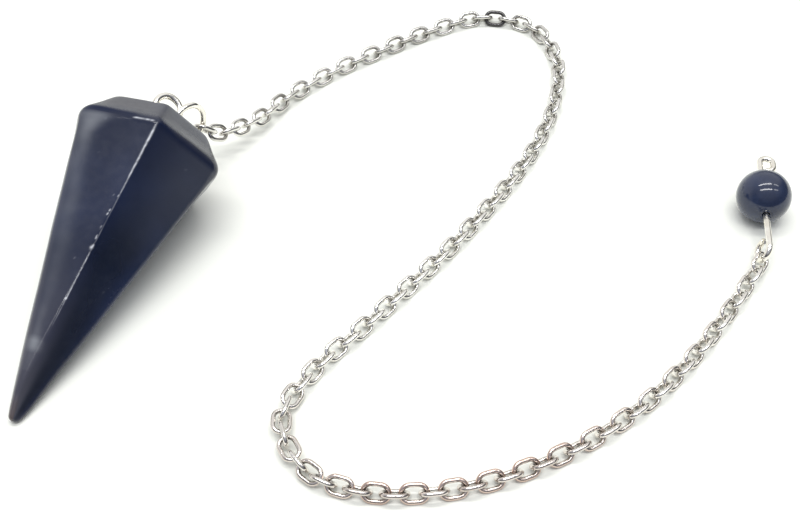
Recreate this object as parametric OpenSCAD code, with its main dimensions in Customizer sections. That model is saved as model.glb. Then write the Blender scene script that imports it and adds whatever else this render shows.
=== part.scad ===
// Pendulum pendant: a hexagonal stone point on a cable chain that ends in a round bead.
// It lies on a table as it is put down, with its chain in an S.
// Lengths are millimetres. The table is z = 0, and the stone rests on one of its six long facets.

/* [Stone] */
// Width across the flats of the six-sided girdle
stone_flats = 15.4; // [14:0.1:18]
// Length of the point, from the girdle to where the long facets would meet
point_len = 34.9; // [32:0.1:40]
// Height of the bevelled crown above the girdle
crown_h = 4; // [3:0.1:5]
// Width across the flats of the table at the blunt end
table_flats = 10.4; // [9:0.1:11]
// Radius of the worn nose at the sharp end
nose_r = 0.66; // [0.6:0.01:0.74]
// Length that the worn nose takes off the sharp end
nose_wear = 2.8; // [2.4:0.1:3.2]
// Direction from the tip to the blunt end, seen from above
stone_heading = 72.9; // [60:0.1:85]
// Depth of the hole drilled in the table for the peg
peg_depth = 4; // [3:0.5:6]

/* [Eye loop] */
// Radius of the eye loop, to the middle of its wire
eye_r = 1.48; // [1.4:0.01:1.6]
// Thickness of the eye loop's wire
eye_wire = 0.8; // [0.7:0.05:0.85]
// Height of the eye loop's middle above the table
eye_lift = 2.87; // [2.8:0.01:3.2]
// How far the peg stands beside the stone's axis
eye_off = 0.25; // [0:0.05:0.5]
// Turn of the eye loop about the peg
eye_turn = -50; // [-60:1:-40]
// Thickness of the peg below the eye loop
peg_d = 1; // [0.9:0.05:1.2]
// Gap between the peg and its hole
peg_gap = 0.08; // [0.05:0.01:0.15]

/* [Jump ring] */
// Radius of the jump ring, to the middle of its wire
ring_r = 2.24; // [2.2:0.01:2.4]
// Thickness of the jump ring's wire
ring_wire = 0.68; // [0.6:0.01:0.7]
// Gap between the jump ring and the eye loop that it hangs in
ring_play = 0.12; // [0.1:0.01:0.2]

/* [Chain] */
// Outer length of a link
link_len = 2.95; // [2.9:0.01:3.05]
// Outer width of a link
link_width = 2.1; // [2:0.01:2.2]
// Thickness of a link's wire
link_wire = 0.45; // [0.4:0.01:0.48]

/* [Bead and pin] */
// Diameter of the round bead
bead_d = 6; // [5.5:0.1:6.6]
// Thickness of the pin's wire
pin_wire = 0.7; // [0.6:0.01:0.75]
// Gap between the pin and the bead's bore
bore_gap = 0.09; // [0.05:0.01:0.1]
// Straight length of the pin from the bead to the big loop
near_len = 4.3; // [4.1:0.05:4.4]
// Straight length of the pin from the bead to the small loop
far_len = 2.4; // [2:0.05:3]
// Radius of the big loop, to the middle of its wire
hook_r = 1.15; // [1.1:0.01:1.25]
// Radius of the small loop's bends, to the middle of the wire
tail_r = 0.75; // [0.7:0.01:0.9]
// Straight leg of the small loop between its two bends
tail_leg = 0.45; // [0.2:0.01:0.6]
// Direction of the pin from the big loop to the small one, seen from above
pin_heading = 83; // [80:0.5:86]
// Swing of the big loop about the pin, away from straight down
hook_swing = 21; // [15:0.5:25]

/* [Hidden] */
// Far larger than the stone, for the blocks that cut its facets
big = 120;

// Taper of the resting facet
taper = atan(stone_flats / 2 / point_len);
crown_slope = atan((stone_flats - table_flats) / 2 / crown_h);
stone_len = point_len + crown_h;

// The six facets round the stone, ground by hand and so a little uneven
FACET_AZ = 0;
FACET_REACH = 1;
FACET_TAPER = 2;
// azimuth about the stone's axis, reach and taper as shares of the named ones
facets = [
  [90, 1, 1],
  [150, 1, 1],
  [205.4, 0.97, 0.974],
  [266.4, 0.98, 0.925],
  [323.7, 1.02, 1.07],
  [29.5, 1, 1]
];

// Directions of the stone: along its axis, to its side, and out of its upper face
stone_side = [sin(stone_heading), -cos(stone_heading), 0];
stone_axis = [
  cos(taper) * cos(stone_heading),
  cos(taper) * sin(stone_heading),
  sin(taper)
];
// How far the middle of the table lies from the part's origin, seen from above
table_reach = 14.7558;
stone_tip = (table_reach - stone_len * cos(taper)) * [cos(stone_heading), sin(stone_heading), 0];

// Middle of the eye loop, and the jump ring hanging from it
eye_mid = stone_tip + eye_off * stone_side + (stone_len + eye_lift) * stone_axis;
ring_hang_az = -14.5;
ring_hang_el = -40;
ring_axis_az = -41;
ring_axis_el = 5;
ring_hang = eye_r + ring_r - (eye_wire + ring_wire) / 2 - ring_play;
ring_mid = eye_mid + ring_hang * aim(ring_hang_az, ring_hang_el);

// The bead lies on the table, and the pin runs through its middle
bead_mid = [72.22, 8.76, bead_d / 2];
pin_dir = aim(pin_heading, 0);
pin_side = aim(pin_heading - 90, 0);
hook_turn = 288;
tail_close = 105;

// Places of every fourth link: x, y, lift above its resting height, twist of the chain
ROUTE_LIFT = 2;
ROUTE_TWIST = 3;
route_step = 4;
route = [
  [3.6, 20.1, 11.2, 0],
  [9.1, 17.4, 4.42, 0],
  [13.73, 21.97, 1.4, 0],
  [17.84, 28.19, 0.24, 0],
  [23.2, 33.4, 0, 0],
  [29.4, 37.75, 0, 0],
  [35.75, 41.72, 0, 0],
  [42.54, 44.48, 0, 0],
  [49.03, 42.33, 0, 0],
  [51.68, 35.66, 0, 0],
  [50.9, 28.21, 0, 0],
  [48.6, 21.3, 0, 0],
  [45.3, 14.9, 0, 0],
  [41.3, 8.8, 0, 0],
  [37, 2.9, 0, 0],
  [32.4, -2.7, 0, 0],
  [27.6, -8.3, 0, 0],
  [22.8, -13.8, 0, 0],
  [20.1, -19.9, 0, -35],
  [23.1, -25.5, 0, -75],
  [29.3, -27.6, 0, -90],
  [36.5, -27.2, 0, -90],
  [43.4, -25.1, 0, -90],
  [50, -21.7, 0, -90],
  [56.05, -17.25, 0, -90],
  [61.3, -11.9, 0, -90],
  [66, -6, 0, -90],
  [70.38, 0.16, 0.55, -90],
  [74, 6.1, 1.32, -90]
];
// A smooth curve takes four rows for each of its spans
span_rows = 4;
link_last = (len(route) - span_rows + 1) * route_step;
// Height of the chain's lowest wire above the table
lie_gap = 0.02;
link_bend_r = (link_width - link_wire) / 2;
link_straight = link_len - link_width;
// Roll of a link that lies on the table against a neighbour a quarter turn from it
lie_roll = 45;

// Unit vector at an azimuth and an elevation
function aim(az, el) = [cos(el) * cos(az), cos(el) * sin(az), sin(el)];

function unit(v) = v / norm(v);

// Smooth curve through the route's rows, with the link's number as its run
function route_at(i) =
  let(
    k = min(floor(i / route_step), len(route) - span_rows),
    t = i / route_step - k,
    a = route[k],
    b = route[k + 1],
    c = route[k + 2],
    d = route[k + 3]
  )
  (2 * b + (c - a) * t + (2 * a - 5 * b + 4 * c - d) * t * t
    + (3 * b - a - 3 * c + d) * t * t * t) / 2;

// Height of the chain's middle where its links lie rolled against each other on the table
function rest_height(twist) =
  link_bend_r * max(abs(sin(lie_roll + twist)), abs(cos(lie_roll + twist)))
    + link_wire / 2 + lie_gap;

function link_mid(i) =
  let(r = route_at(i))
  [r[0], r[1], max(0, r[ROUTE_LIFT]) + rest_height(r[ROUTE_TWIST])];

function link_dir(i) =
  unit(link_mid(min(i + 0.5, link_last)) - link_mid(max(i - 0.5, 0)));

// Roll of a link about the chain: each stands a quarter turn from the one before it
function link_roll(i) = lie_roll + (i % 2 == 0 ? 90 : 0) - route_at(i)[ROUTE_TWIST];

// Moves a child from the stone's own frame, tip at the origin and axis along Z, to where it lies
module lay_stone() {
  translate(stone_tip)
    rotate([0, 0, stone_heading - 90])
      rotate([-(90 - taper), 0, 0])
        children();
}

// Turns a child's X axis to an azimuth and an elevation
module face(az, el) {
  rotate([0, 0, az])
    rotate([0, -el, 0])
      children();
}

// A block whose inner face is one facet: outward slope is the fall of the facet towards the tip
module facet_cut(az, reach, height, slope) {
  rotate([0, 0, az])
    translate([reach, 0, height])
      rotate([0, slope, 0])
        translate([0, -big / 2, -big / 2])
          cube(big);
}

module stone() {
  half = stone_flats / 2;
  nose_z = nose_wear + nose_r;
  nose_edge = 62;
  nose_flare = 22;
  // How far above the table the drill starts
  drill_over = 1;
  color([0.13, 0.14, 0.24])
    lay_stone()
      difference() {
        intersection() {
          difference() {
            translate([-big / 2, -big / 2, 0])
              cube([big, big, stone_len]);
            for (f = facets) {
              facet_cut(f[FACET_AZ], half * f[FACET_REACH], point_len, taper * f[FACET_TAPER]);
              facet_cut(f[FACET_AZ], half * f[FACET_REACH], point_len, -crown_slope);
            }
          }
          // The worn nose: a small ball that opens into a cone
          union() {
            translate([0, 0, nose_z])
              sphere(r = nose_r);
            translate([0, 0, nose_z - nose_r * cos(nose_edge)])
              cylinder(
                h = big,
                r1 = nose_r * sin(nose_edge),
                r2 = nose_r * sin(nose_edge) + big * tan(nose_flare)
              );
          }
        }
        translate([eye_off, 0, stone_len - peg_depth])
          cylinder(h = peg_depth + drill_over, d = peg_d + 2 * peg_gap);
      }
}

// A closed ring of round wire about Z
module wire_ring(r, wire) {
  rotate_extrude()
    translate([r, 0])
      circle(d = wire);
}

// Part of a ring of round wire about Z, from the X axis on
module wire_bend(r, wire, turn) {
  rotate_extrude(angle = turn)
    translate([r, 0])
      circle(d = wire);
}

module stone_eye() {
  peg_top = eye_lift - eye_r;
  peg_low = peg_depth - peg_gap;
  color([0.78, 0.76, 0.72])
    lay_stone()
      translate([eye_off, 0, stone_len]) {
        translate([0, 0, eye_lift])
          rotate([0, 0, eye_turn])
            rotate([0, 90, 0])
              wire_ring(eye_r, eye_wire);
        translate([0, 0, -peg_low])
          cylinder(h = peg_low + peg_top, d = peg_d);
      }
}

module jump_ring() {
  color([0.8, 0.78, 0.74])
    translate(ring_mid)
      face(ring_axis_az, ring_axis_el)
        rotate([0, 90, 0])
          wire_ring(ring_r, ring_wire);
}

// One cable link, long along X and flat in XY
module link() {
  for (side = [0, 180])
    rotate([0, 0, side]) {
      translate([link_straight / 2, 0, 0])
        rotate([0, 0, -90])
          wire_bend(link_bend_r, link_wire, 180);
      translate([-link_straight / 2, link_bend_r, 0])
        rotate([0, 90, 0])
          cylinder(h = link_straight, d = link_wire);
    }
}

module chain() {
  color([0.82, 0.82, 0.8])
    for (i = [0 : link_last]) {
      dir = link_dir(i);
      translate(link_mid(i))
        rotate([0, 0, atan2(dir[1], dir[0])])
          rotate([0, -asin(dir[2]), 0])
            rotate([link_roll(i), 0, 0])
              link();
    }
}

module bead() {
  // How far the drill runs past the bead in all
  overrun = 2;
  color([0.16, 0.19, 0.33])
    translate(bead_mid)
      face(pin_heading, 0)
        rotate([0, 90, 0])
          difference() {
            sphere(d = bead_d);
            cylinder(h = bead_d + overrun, d = pin_wire + 2 * bore_gap, center = true);
          }
}

// The pin runs along X, towards the small loop
module bead_pin() {
  near = bead_d / 2 + near_len;
  far = bead_d / 2 + far_len;
  color([0.84, 0.82, 0.76])
    translate(bead_mid)
      face(pin_heading, 0) {
        translate([-near, 0, 0])
          rotate([0, 90, 0])
            cylinder(h = near + far, d = pin_wire);
        // The big loop curls down and back under the pin
        translate([-near, 0, 0])
          rotate([hook_swing, 0, 0])
            translate([0, 0, -hook_r])
              rotate([90, 0, 0])
                rotate([0, 0, 90])
                  wire_bend(hook_r, pin_wire, hook_turn);
        // The small loop lies flat: half a turn, a short leg back, and a bend that closes on the pin
        translate([far, -tail_r, 0])
          rotate([0, 0, -90])
            wire_bend(tail_r, pin_wire, 180);
        translate([far - tail_leg, -2 * tail_r, 0])
          rotate([0, 90, 0])
            cylinder(h = tail_leg, d = pin_wire);
        translate([far - tail_leg, -tail_r, 0])
          rotate([0, 0, -90 - tail_close])
            wire_bend(tail_r, pin_wire, tail_close);
      }
}

stone();
stone_eye();
jump_ring();
chain();
bead();
bead_pin();
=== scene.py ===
# %% [markdown]
# # A pendulum pendant on a white table
#
# The pendant is a navy stone point on a fine metal chain that ends in a round bead. It lies on a
# table as it was put down, with the chain in an S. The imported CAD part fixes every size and
# place, so this script only gives each piece its finished surface, its material and its light.
# Lengths in the script are millimetres, and they turn to metres where a mesh is made.

import bpy
import numpy as np
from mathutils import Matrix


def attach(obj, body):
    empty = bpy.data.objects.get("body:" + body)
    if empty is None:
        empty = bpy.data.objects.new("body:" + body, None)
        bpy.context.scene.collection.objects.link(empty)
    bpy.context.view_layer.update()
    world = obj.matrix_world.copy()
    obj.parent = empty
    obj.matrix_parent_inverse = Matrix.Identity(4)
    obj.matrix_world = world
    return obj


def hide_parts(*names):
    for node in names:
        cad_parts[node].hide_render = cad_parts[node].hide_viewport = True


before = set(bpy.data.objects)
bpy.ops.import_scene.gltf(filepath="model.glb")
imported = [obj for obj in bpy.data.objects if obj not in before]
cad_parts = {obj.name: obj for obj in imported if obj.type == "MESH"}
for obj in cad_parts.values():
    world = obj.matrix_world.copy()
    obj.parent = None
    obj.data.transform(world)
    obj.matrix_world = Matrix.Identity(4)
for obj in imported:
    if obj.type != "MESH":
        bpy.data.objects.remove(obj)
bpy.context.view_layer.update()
MM = 0.001
print("pieces of the packed part:", ", ".join(sorted(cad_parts)))

# %% [markdown]
# ## The camera
#
# The photograph was taken from above and in front. A camera that is placed where the lens stood
# gives the same overlaps and the same narrowing towards the back. Its focal length is given in
# pixels of the frame, and Blender wants it in millimetres of film, so it is scaled by the film's
# width over the frame's.

# %% Place the camera
FRAME_WIDTH = 800
FOCAL_PIXELS = 1150
FILM_WIDTH = 36.0
LENS_PLACE = (31.54, -82.04, 94.35)
PITCH = 48.25

camera = bpy.data.objects.new("camera", bpy.data.cameras.new("camera"))
bpy.context.scene.collection.objects.link(camera)
camera.data.sensor_width = FILM_WIDTH
camera.data.lens = FOCAL_PIXELS / FRAME_WIDTH * FILM_WIDTH
camera.data.clip_start = 0.002
camera.location = [c * MM for c in LENS_PLACE]
camera.rotation_euler = (np.radians(90 - PITCH), 0, 0)
bpy.context.scene.camera = camera
print("camera lens in millimetres of film:", round(camera.data.lens, 2))

# %% [markdown]
# ## Small helpers
#
# The same few sums come back in every piece: a full turn in even steps, a direction that is given
# by two angles, a bell that marks a place, and a ramp that fades something in. Numpy works each
# out for all the points of a piece at once.

# %% Turns, bells and ramps
def unit(v):
    """Each vector divided by its length."""
    return v / np.linalg.norm(v, axis=-1, keepdims=True)


def once_round(count):
    """Angles in even steps round a full turn."""
    return np.linspace(0, 2 * np.pi, count, endpoint=False)


def turned(vectors, az, el):
    """Turns the X axis to an azimuth and an elevation, given in degrees."""
    a = np.radians(az)
    e = np.radians(el)
    x = np.array([np.cos(e) * np.cos(a), np.cos(e) * np.sin(a), np.sin(e)])
    y = np.array([-np.sin(a), np.cos(a), 0])
    return np.asarray(vectors) @ np.stack([x, y, np.cross(x, y)])


def azimuth_of(points):
    """Azimuth of each point about the Z axis, in degrees."""
    return np.degrees(np.arctan2(points[..., 1], points[..., 0])) % 360


def turn_from(azimuth, centre):
    """Degrees between an azimuth and a centre, the short way round."""
    return np.abs((azimuth - centre + 180) % 360 - 180)


def bell(distance, width):
    """One at no distance, falling off on both sides: exp(-(distance / width) squared)."""
    return np.exp(-((distance / width) ** 2))


def ramp(distance, length):
    """Zero before the start, then evenly up to one over the length."""
    return np.clip(distance / length, 0, 1)


def around(azimuth, place, power=2):
    """Bell about a place, given as an azimuth and a half width in degrees."""
    centre, width = place
    return np.exp(-((turn_from(azimuth, centre) / width) ** power))


def fading(azimuth, place, reach, least=0):
    """The reach minus the turn away from a place over its width, held between least and one."""
    centre, width = place
    return np.clip(reach - turn_from(azimuth, centre) / width, least, 1)


# %% [markdown]
# A surface here is a grid of points worked out with numpy. Two neighbouring rows and columns make
# a four-sided face. A grid can close on itself around its columns, as a tube does, and its first
# and last rows can each close on one point, as the ends of a wire do.

# %% Faces of a grid
def grid_faces(rows, cols, closed_rows=False):
    """Corner numbers of the faces of a grid whose columns close on themselves.

    Point (r, c) has the number r * cols + c. A face joins it to its neighbours in the next row
    and the next column, counted round and round.
    """
    r = np.arange(rows if closed_rows else rows - 1)[:, None]
    c = np.arange(cols)[None, :]
    r_next = (r + 1) % rows
    c_next = (c + 1) % cols
    corners = (r * cols + c, r * cols + c_next, r_next * cols + c_next, r_next * cols + c)
    return np.stack(corners, axis=-1).reshape(-1, 4)


def closed_ends(points):
    """Adds one point at the middle of the first and the last row, and the triangles to them."""
    rows, cols = points.shape[:2]
    middles = np.stack([points[0].mean(0), points[-1].mean(0)])
    c = np.arange(cols)
    c_next = (c + 1) % cols
    base = (rows - 1) * cols
    first = np.stack([0 * c + rows * cols, c_next, c], axis=-1)
    last = np.stack([0 * c + rows * cols + 1, base + c, base + c_next], axis=-1)
    return np.vstack([points.reshape(-1, 3), middles]), np.vstack([first, last])


# %% [markdown]
# A piece is one mesh with its place in its points, and it stays at the origin. The volume inside
# its faces says which way they point: when it is negative, every face is turned over.

# %% Make a piece of points and faces
def signed_volume(points, faces):
    """Volume inside the faces: a sixth of the sum of each triangle's triple product."""
    corners = points[faces]
    crossed = np.cross(corners[:, 1:-1], corners[:, 2:])
    return np.einsum("ik,ijk->", corners[:, 0], crossed) / 6


def add_piece(name, points, face_sets, body, values=None):
    """Makes one smooth object from points in millimetres, with its faces pointing outwards."""
    points = points.reshape(-1, 3)
    total = sum(signed_volume(points, f) for f in face_sets)
    if total < 0:
        face_sets = [f[:, ::-1] for f in face_sets]
    faces = [face for f in face_sets for face in f.tolist()]
    mesh = bpy.data.meshes.new(name)
    mesh.from_pydata((points * MM).tolist(), [], faces)
    mesh.polygons.foreach_set("use_smooth", np.ones(len(faces), bool))
    for key, numbers in (values or {}).items():
        layer = mesh.attributes.new(key, "FLOAT", "POINT")
        layer.data.foreach_set("value", numbers.ravel().astype(np.float32))
    mesh.update()
    piece = bpy.data.objects.new(name, mesh)
    bpy.context.scene.collection.objects.link(piece)
    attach(piece, body)
    print(f"{name}: {len(points)} points, {abs(total):.1f} cubic millimetres")
    return piece


# %% [markdown]
# Hand-worked surfaces are never perfectly even. A sum of a few plane waves with fixed random
# directions gives a soft, repeatable unevenness that has one size of feature.

# %% Soft unevenness
def soft_noise(points, size, seed, waves=14):
    """Sum of sine waves of one wavelength in random directions, scaled to about plus or minus 1."""
    rng = np.random.default_rng(seed)
    directions = unit(rng.normal(size=(waves, 3)))
    phases = rng.uniform(0, 2 * np.pi, waves)
    total = np.sin(points @ directions.T * (2 * np.pi / size) + phases).sum(-1)
    return total / np.sqrt(waves)


# %% [markdown]
# ## Materials: colours and nodes
#
# Colours are picked as sRGB hex values, as a paint program shows them, and Blender's shaders work
# with linear light. One function turns the first into the second. One more adds a shader node
# with its settings and its links, so that a material reads as a short list.

# %% Colour and node helpers
def linear(hex_colour):
    """Linear RGBA of an sRGB hex colour: c / 12.92 when dark, ((c + 0.055) / 1.055) ** 2.4 above."""
    c = np.array([int(hex_colour[k : k + 2], 16) for k in (1, 3, 5)]) / 255
    rgb = np.where(c <= 0.04045, c / 12.92, ((c + 0.055) / 1.055) ** 2.4)
    return (*rgb.tolist(), 1.0)


def add_node(tree, kind, inputs=None, **settings):
    """Adds a node. Each input is a number, a hex colour or the output of another node."""
    made = tree.nodes.new(kind)
    for key, value in settings.items():
        setattr(made, key, value)
    for key, value in (inputs or {}).items():
        if isinstance(value, bpy.types.NodeSocket):
            tree.links.new(value, made.inputs[key])
        else:
            made.inputs[key].default_value = linear(value) if isinstance(value, str) else value
    return made


def new_material(name, looks):
    """A material with one shader. Looks adds nodes to the tree and returns the shader's inputs."""
    material = bpy.data.materials.new(name)
    material.use_nodes = True
    tree = material.node_tree
    tree.nodes.clear()
    shader = add_node(tree, "ShaderNodeBsdfPrincipled", looks(tree))
    add_node(tree, "ShaderNodeOutputMaterial", {"Surface": shader.outputs["BSDF"]})
    print("material:", name)
    return material


# %% [markdown]
# Three small recipes serve every finish. Patches are cloudy noise of one real size. A weighted sum
# starts from a number and adds values that were given their weights. Coats are colours laid over a
# body one after the other, and each one's share at a place is such a sum.

# %% Patches, sums and coats
def patches(tree, size_mm, detail=3.0):
    """Noise of one feature size, whose middle third is spread over the range from 0 to 1."""
    scale = 1 / (size_mm * MM)
    place = add_node(tree, "ShaderNodeTexCoord").outputs["Object"]
    noise = add_node(tree, "ShaderNodeTexNoise", {"Scale": scale, "Detail": detail, "Vector": place})
    inputs = {"From Min": 0.35, "From Max": 0.65, "Value": noise.outputs["Fac"]}
    spread = add_node(tree, "ShaderNodeMapRange", inputs, interpolation_type="SMOOTHSTEP")
    return spread.outputs["Result"]


def weighted(tree, start, terms):
    """The start plus each value times its weight."""
    for value, weight in terms:
        inputs = {0: value, 1: weight, 2: start}
        start = add_node(tree, "ShaderNodeMath", inputs, operation="MULTIPLY_ADD").outputs[0]
    return start


def coats(tree, body, layers):
    """Lays colours over a body. Each layer is a colour, the start of its share, and the terms."""
    for colour, start, *terms in layers:
        inputs = {"Factor": weighted(tree, start, terms), 6: body, 7: colour}
        body = add_node(tree, "ShaderNodeMix", inputs, data_type="RGBA").outputs[2]
    return body


# %% [markdown]
# ## The stone's shape
#
# The stone was sawn to a six-sided point, ground flat facet by facet, and tumbled or brushed until
# its edges were round. A rounded block of flat facets has a neat formula. Every facet is a plane,
# and a point's depth under each plane is a number. The plain maximum of these numbers gives a
# sharp-edged block. The soft maximum, a logarithm of a sum of exponentials, gives the same flats
# with rounded edges, and one number says how round. Here the roundness changes from ridge to
# ridge, because the real ridges are worn unevenly.

# %% The stone's facets
# half the width across the flats, at the girdle and at the table, and the two heights
STONE_HALF = 7.7
TABLE_HALF = 5.2
POINT_LEN = 34.9
CROWN_H = 4.0
STONE_LEN = POINT_LEN + CROWN_H
TAPER = np.arctan(STONE_HALF / POINT_LEN)
CROWN_SLOPE = np.arctan((STONE_HALF - TABLE_HALF) / CROWN_H)

# azimuth about the stone's axis, reach and taper as shares of the usual ones
FACETS = np.array([
    [29.5, 1, 1], [90, 1, 1], [150, 1, 1],
    [205.4, 0.97, 0.974], [266.4, 0.98, 0.925], [323.7, 1.02, 1.07],
])
AZ, REACH, SHARE = FACETS.T
# the facet that the stone lies on, and the ridges after the facets of these numbers
RESTING = 1
LEFT = 3
TOP = 4


def facet_planes(slopes):
    """Outward normals of six planes through the girdle's flats, and their distances from the tip.

    A normal points to its facet's azimuth and down by the slope. A distance is the product of the
    normal with a point on the girdle.
    """
    az = np.radians(AZ)
    normals = np.stack(
        [np.cos(az) * np.cos(slopes), np.sin(az) * np.cos(slopes), -np.sin(slopes)], -1
    )
    reach = STONE_HALF * REACH
    on_girdle = np.stack([np.cos(az) * reach, np.sin(az) * reach, np.full(6, POINT_LEN)], -1)
    return normals, np.einsum("ij,ij->i", normals, on_girdle)


# %% [markdown]
# Two neighbouring facets meet in a ridge. The grid's columns and most of the wear follow the
# ridges, so their places are worked out once, as if the edges were sharp.

# %% Where the ridges run
def corner_azimuth(heights):
    """Azimuth of each ridge at each height, where two neighbouring facets meet.

    At one height a facet is a line at a known distance from the axis. Two such lines, a1 and a2
    away at azimuths z1 and z2, cross at the point that solves two linear equations.
    """
    h = heights[:, None]
    along = STONE_HALF * REACH - (POINT_LEN - h) * np.tan(TAPER * SHARE)
    up = STONE_HALF * REACH - (h - POINT_LEN) * np.tan(CROWN_SLOPE)
    a1 = np.where(h <= POINT_LEN, along, up)
    z1 = np.radians(AZ)
    z2 = np.radians(np.roll(AZ, -1))
    a2 = np.roll(a1, -1, axis=1)
    turn = np.sin(z2 - z1)
    x = (a1 * np.sin(z2) - a2 * np.sin(z1)) / turn
    y = (a2 * np.cos(z1) - a1 * np.cos(z2)) / turn
    azimuth = np.arctan2(y, x)
    return np.radians(AZ) + (azimuth - np.radians(AZ)) % (2 * np.pi), np.hypot(x, y)


girdle_azimuths = np.degrees(corner_azimuth(np.array([POINT_LEN]))[0])
print("azimuths of the ridges at the girdle:", girdle_azimuths.round(1).tolist())

# %% [markdown]
# The grid has to reach every part of the stone. Rays leave the axis and travel outwards until
# they meet the surface. Low on the point they fan out round the nose, along the sides they stay
# level, and above the crown they fan in over the table. The columns follow the ridges exactly and
# crowd together there, so that a ridge is drawn as cleanly as a flat.

# %% Rows and columns of the stone's grid
CELLS_PER_FACET = 54
CROWDING = 0.75
# below this height the uneven ridges cross, so the columns run straight on from here
TIP_COLUMNS_Z = 8.0
# heights from which the rays fan out, down round the nose and up over the table
NOSE_Z = 3.9
TOP_Z = 36.6


def ray_table():
    """Start height on the axis and tilt above level, in degrees, for each row of the grid."""
    nose = np.linspace(-88, -4, 22)
    low = np.linspace(NOSE_Z, 8, 34)
    middle = np.linspace(8.16, POINT_LEN - 1.6, 124)
    girdle = np.linspace(POINT_LEN - 1.54, POINT_LEN + 1.2, 38)
    over = np.concatenate([np.linspace(3, 28, 22), np.linspace(31, 88, 12)])
    heights = np.concatenate([0 * nose + NOSE_Z, low, middle, girdle, 0 * over + TOP_Z])
    return heights, np.concatenate([nose, 0 * low, 0 * middle, 0 * girdle, over])


def column_azimuths(heights):
    """Azimuth of each grid point: even steps between ridges, crowded at both ends of a facet.

    A share t along a facet becomes t - k * sin(2 pi t) / (2 pi), which moves slowly near a ridge.
    """
    ridges, _ = corner_azimuth(np.clip(heights, TIP_COLUMNS_Z, STONE_LEN - 1.0))
    starts = np.roll(ridges, 1, axis=1)
    starts[:, 0] -= 2 * np.pi
    t = np.arange(CELLS_PER_FACET) / CELLS_PER_FACET
    t = t - CROWDING * np.sin(2 * np.pi * t) / (2 * np.pi)
    az = starts[:, :, None] + (ridges - starts)[:, :, None] * t
    return az.reshape(len(heights), -1)


# %% [markdown]
# The edges aren't worn alike. The left ridge and the girdle's two outer corners are round, and the
# ridge on top is crisp. One function says how round they are on each side and at each height.

# %% How round the edges are
# softness in millimetres: everywhere, more on the left ridge and on the corners, less when crisp
SOFT = 0.13
SOFT_LEFT = 0.2
SOFT_CORNERS = 0.24
CRISPER = 0.08
# azimuth and half width, in degrees, of the worn ridge, the two corners and the crisp ridge
LEFT_SIDE = (236.5, 24)
LEFT_CORNER = (236.5, 26)
RIGHT_CORNER = (356.0, 42)
CRISP_SIDE = (295.0, 16)


def near_girdle(height):
    """One at the girdle, falling off above and below it."""
    return bell(height - POINT_LEN - 0.3, 1.6)


def edge_softness(azimuth, height):
    """How round the edges are, in millimetres. It shrinks with the stone towards the nose."""
    left = SOFT_LEFT * around(azimuth, LEFT_SIDE) * ramp(POINT_LEN - 1.0 - height, 5)
    corners = np.maximum(around(azimuth, LEFT_CORNER), around(azimuth, RIGHT_CORNER))
    corners = SOFT_CORNERS * near_girdle(height) * corners
    along_crisp = ramp(POINT_LEN + 0.3 - height, 0.8) * ramp(height - 12, 5)
    crisper = CRISPER * around(azimuth, CRISP_SIDE) * along_crisp
    return (SOFT + left + corners - crisper) * np.clip(height / 9.0, 0.45, 1.0)


# %% [markdown]
# The sharp end has been knocked and rubbed. A small ball that opens into a cone stands for the worn
# nose, and it joins the soft maximum as one more surface.

# %% The worn nose
# how far the sharp end is worn back, the ball's radius and the cone's half angle
NOSE_WEAR = 2.8
NOSE_R = 0.66
NOSE_FLARE = np.radians(22)


def nose_distance(points):
    """Distance from the worn nose, a small ball that opens into a cone, and the way it faces.

    Measured from the ball's middle, a point is beside the cone when it stands further up than
    the cone's foot. There the distance is r * cos(flare) - z * sin(flare) - ball, and elsewhere
    it is the distance to the ball.
    """
    offset = points - [0, 0, NOSE_WEAR + NOSE_R]
    z = offset[..., 2]
    r = np.hypot(offset[..., 0], offset[..., 1])
    sine = np.sin(NOSE_FLARE)
    cosine = np.cos(NOSE_FLARE)
    beside = z > -r * np.tan(NOSE_FLARE)
    to_cone = r * cosine - z * sine - NOSE_R
    to_ball = np.hypot(r, z) - NOSE_R
    safe_r = np.maximum(r, 1e-9)[..., None]
    outward = offset[..., :2] / safe_r * cosine
    cone_way = np.concatenate([outward, np.full(r.shape + (1,), -sine)], -1)
    return np.where(beside, to_cone, to_ball), np.where(beside[..., None], cone_way, unit(offset))


# %% [markdown]
# Now the facets, the crown, the table and the nose go into the soft maximum. Each ray is then
# halved again and again until it ends on the surface.

# %% The stone's surface
# how far the surface stands out, as a share of the edges' softness
OUTLINE_SHARE = 0.6
FARTHEST = 14.0
HALVINGS = 34


def soft_block(points, softness):
    """Soft maximum of a point's height over each of the stone's planes, and the way it faces.

    It is the softness times the logarithm of the sum of the exponentials of height / softness.
    The largest height is taken out first, so that no exponential grows too large.
    """
    long_n, long_d = facet_planes(TAPER * SHARE)
    crown_n, crown_d = facet_planes(np.full(6, -CROWN_SLOPE))
    normals = np.vstack([long_n, crown_n, [[0.0, 0.0, 1.0]]])
    over = points @ normals.T - np.concatenate([long_d, crown_d, [STONE_LEN]])
    nose, nose_way = nose_distance(points)
    scaled = np.concatenate([over, nose[..., None]], -1) / softness[..., None]
    peak = scaled.max(-1, keepdims=True)
    weights = np.exp(scaled - peak)
    total = weights.sum(-1, keepdims=True)
    value = softness * (peak + np.log(total))[..., 0]
    share = weights / total
    return value, unit(share[..., :-1] @ normals + share[..., -1:] * nose_way)


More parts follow.
